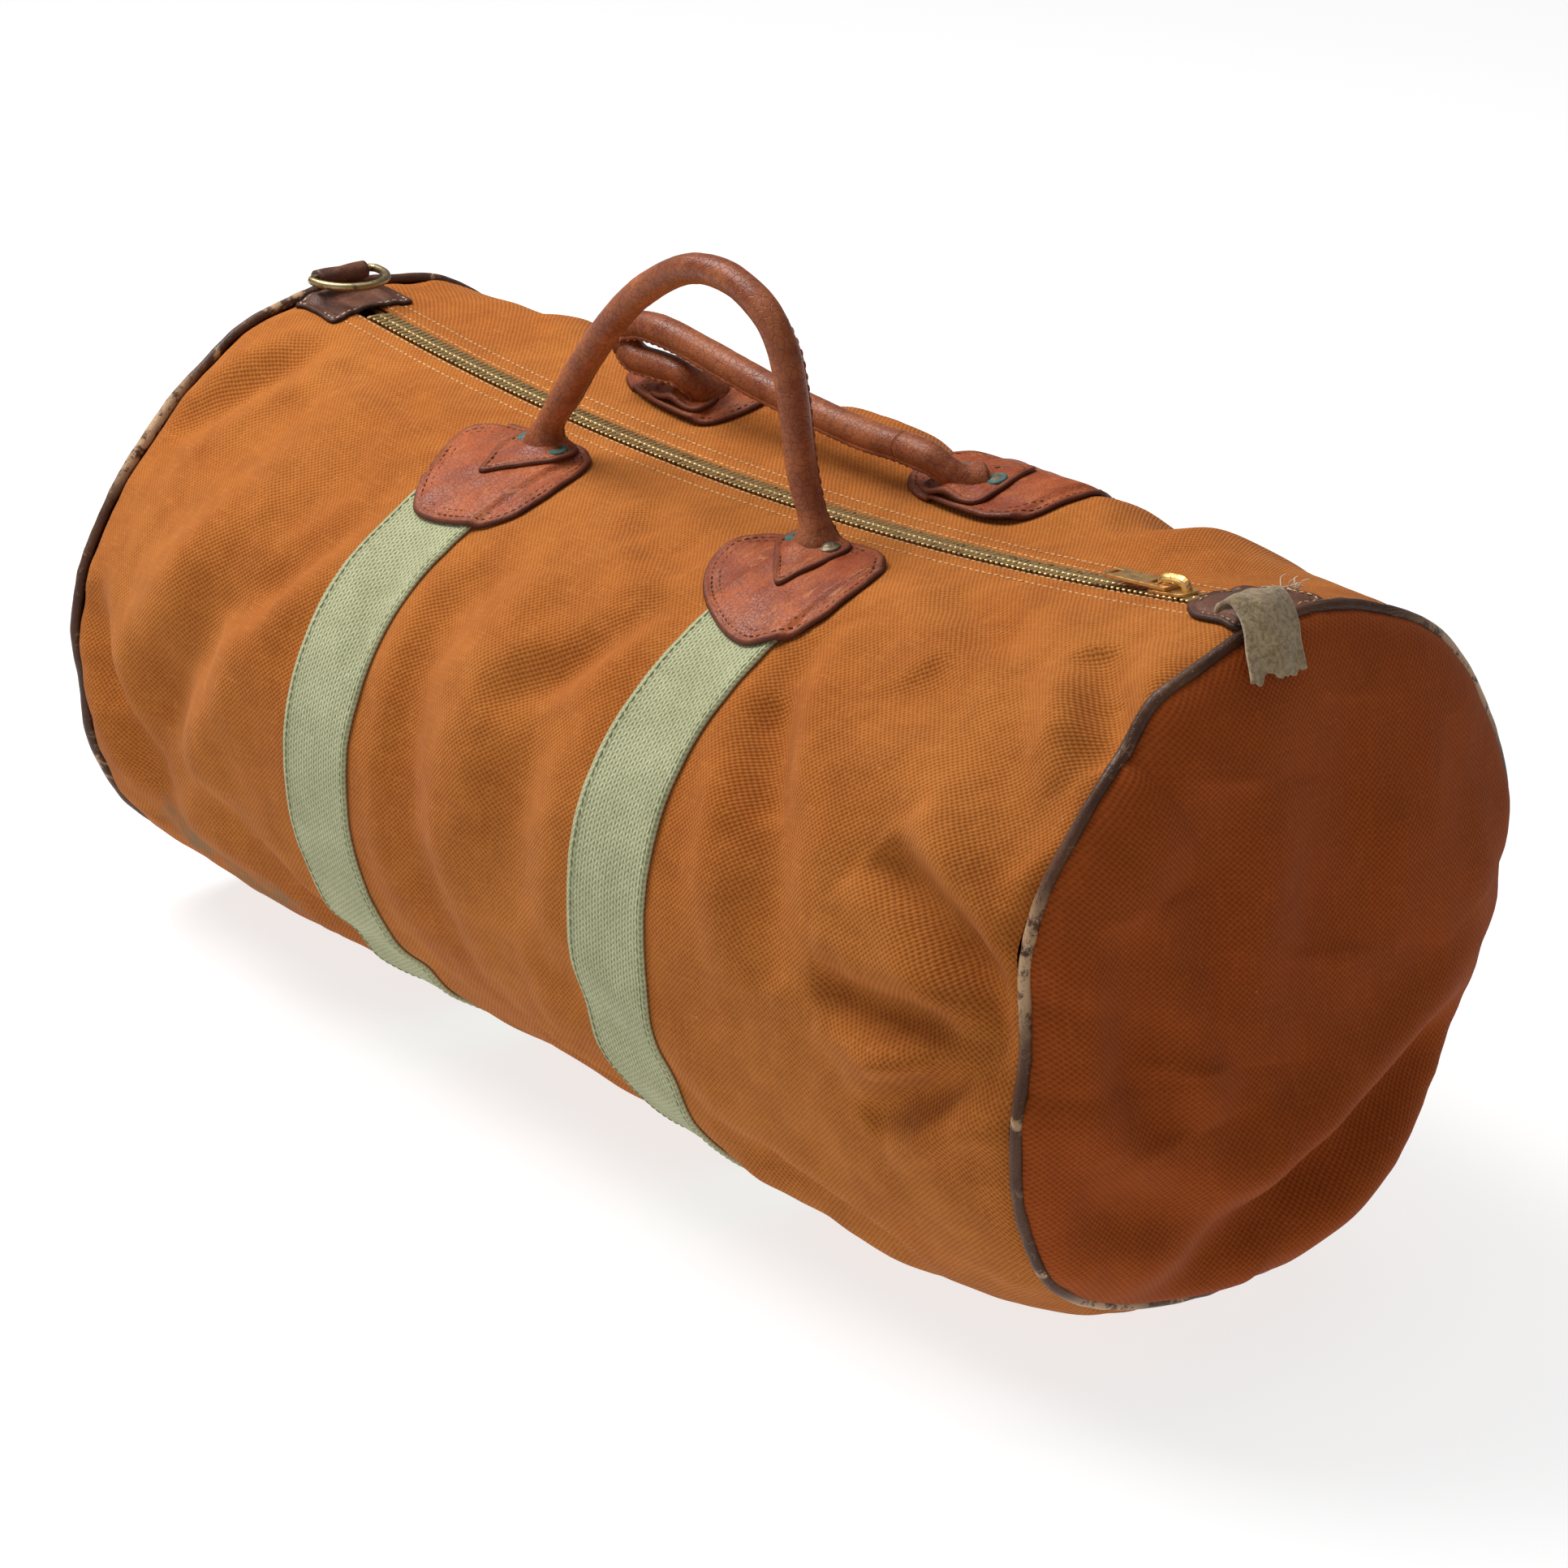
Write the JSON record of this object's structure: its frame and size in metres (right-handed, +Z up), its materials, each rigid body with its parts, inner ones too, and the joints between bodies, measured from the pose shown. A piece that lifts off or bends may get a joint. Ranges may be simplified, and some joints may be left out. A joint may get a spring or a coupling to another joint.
{
  "type": "duffel bag",
  "caption": "Worn rust canvas duffel bag with rolled leather handles, sage webbing straps, a brass zip, leather piping and a D-ring.",
  "frame": {"origin": "on the floor under the middle of the bag", "axes": "+X along the bag towards the end where the closed zip's slider stands, -Y the front with the upright handle, +Z up"},
  "size_m": [0.7194, 0.3343, 0.3948],
  "materials": {
    "canvas": "matt woven duck, faded and scuffed",
    "end_canvas": "matt woven duck",
    "piping": "semi-gloss, worn to tan",
    "webbing": "matt, lengthwise ribs",
    "patch_leather": "satin, scratched",
    "handle_leather": "polished by use, creased",
    "dark_leather": "satin",
    "rope": "matt",
    "rivet": "verdigris",
    "brass": "antique",
    "gilt": "bright, worn",
    "zip_tape": "matt ribbed",
    "suede": "napped, torn"
  },
  "bodies": {
    "bag": {"canvas_body": "canvas", "end_panel_left": "end_canvas", "end_panel_right": "end_canvas", "piping_left": "piping", "piping_right": "piping", "strap_left": "webbing", "strap_right": "webbing", "handle_patch_front_left": "patch_leather", "handle_patch_front_right": "patch_leather", "handle_patch_back_left": "patch_leather", "handle_patch_back_right": "patch_leather", "handle_chape_front_left": "handle_leather", "handle_chape_front_right": "handle_leather", "handle_chape_back_left": "handle_leather", "handle_chape_back_right": "handle_leather", "rivet_front_left_a": "rivet", "rivet_front_left_b": "rivet", "rivet_front_right_a": "rivet", "rivet_front_right_b": "rivet", "rivet_back_left_a": "rivet", "rivet_back_left_b": "rivet", "rivet_back_right_a": "rivet", "rivet_back_right_b": "rivet", "zipper_tape_front": "zip_tape", "zipper_tape_back": "zip_tape", "zipper_teeth_front": "brass", "zipper_teeth_back": "brass", "zipper_stop_left": "brass", "zipper_stop_right": "brass", "zip_patch_left": "dark_leather", "zip_tab_right": "dark_leather", "d_ring_loop": "dark_leather", "suede_loop_right": "suede"},
    "front_handle_roll": {"front_handle": "handle_leather", "front_handle_core": "rope"},
    "back_handle_roll": {"back_handle": "handle_leather", "back_handle_core": "rope"},
    "shoulder_ring": {"d_ring": "brass"},
    "slider": {"zipper_slider": "gilt"},
    "pull": {"zipper_pull": "gilt"}
  },
  "joints": [
    {"name": "front_handle_swing", "type": "hinge", "parent": "bag", "child": "front_handle_roll", "pos_m": [-0.01, -0.04, 0.2942], "axis": [0.9994, 0, 0.0343], "range_deg": [-45, 90]},
    {"name": "back_handle_swing", "type": "hinge", "parent": "bag", "child": "back_handle_roll", "pos_m": [-0.01, 0.0345, 0.3024], "axis": [0.9995, 0, 0.0307], "range_deg": [-60, 40]},
    {"name": "d_ring_swing", "type": "hinge", "parent": "bag", "child": "shoulder_ring", "pos_m": [-0.3355, 0, 0.30143], "axis": [0, -1, 0], "range_deg": [0, 170]},
    {"name": "zip_travel", "type": "hinge", "parent": "bag", "child": "slider", "pos_m": [-0.0796, 0, 2.4768], "axis": [0, 1, 0], "range_deg": [0, 13.7]},
    {"name": "pull_swing", "type": "hinge", "parent": "slider", "child": "pull", "pos_m": [0.26153, 0, 0.30645], "axis": [0, 1, 0], "range_deg": [0, 160]}
  ]
}
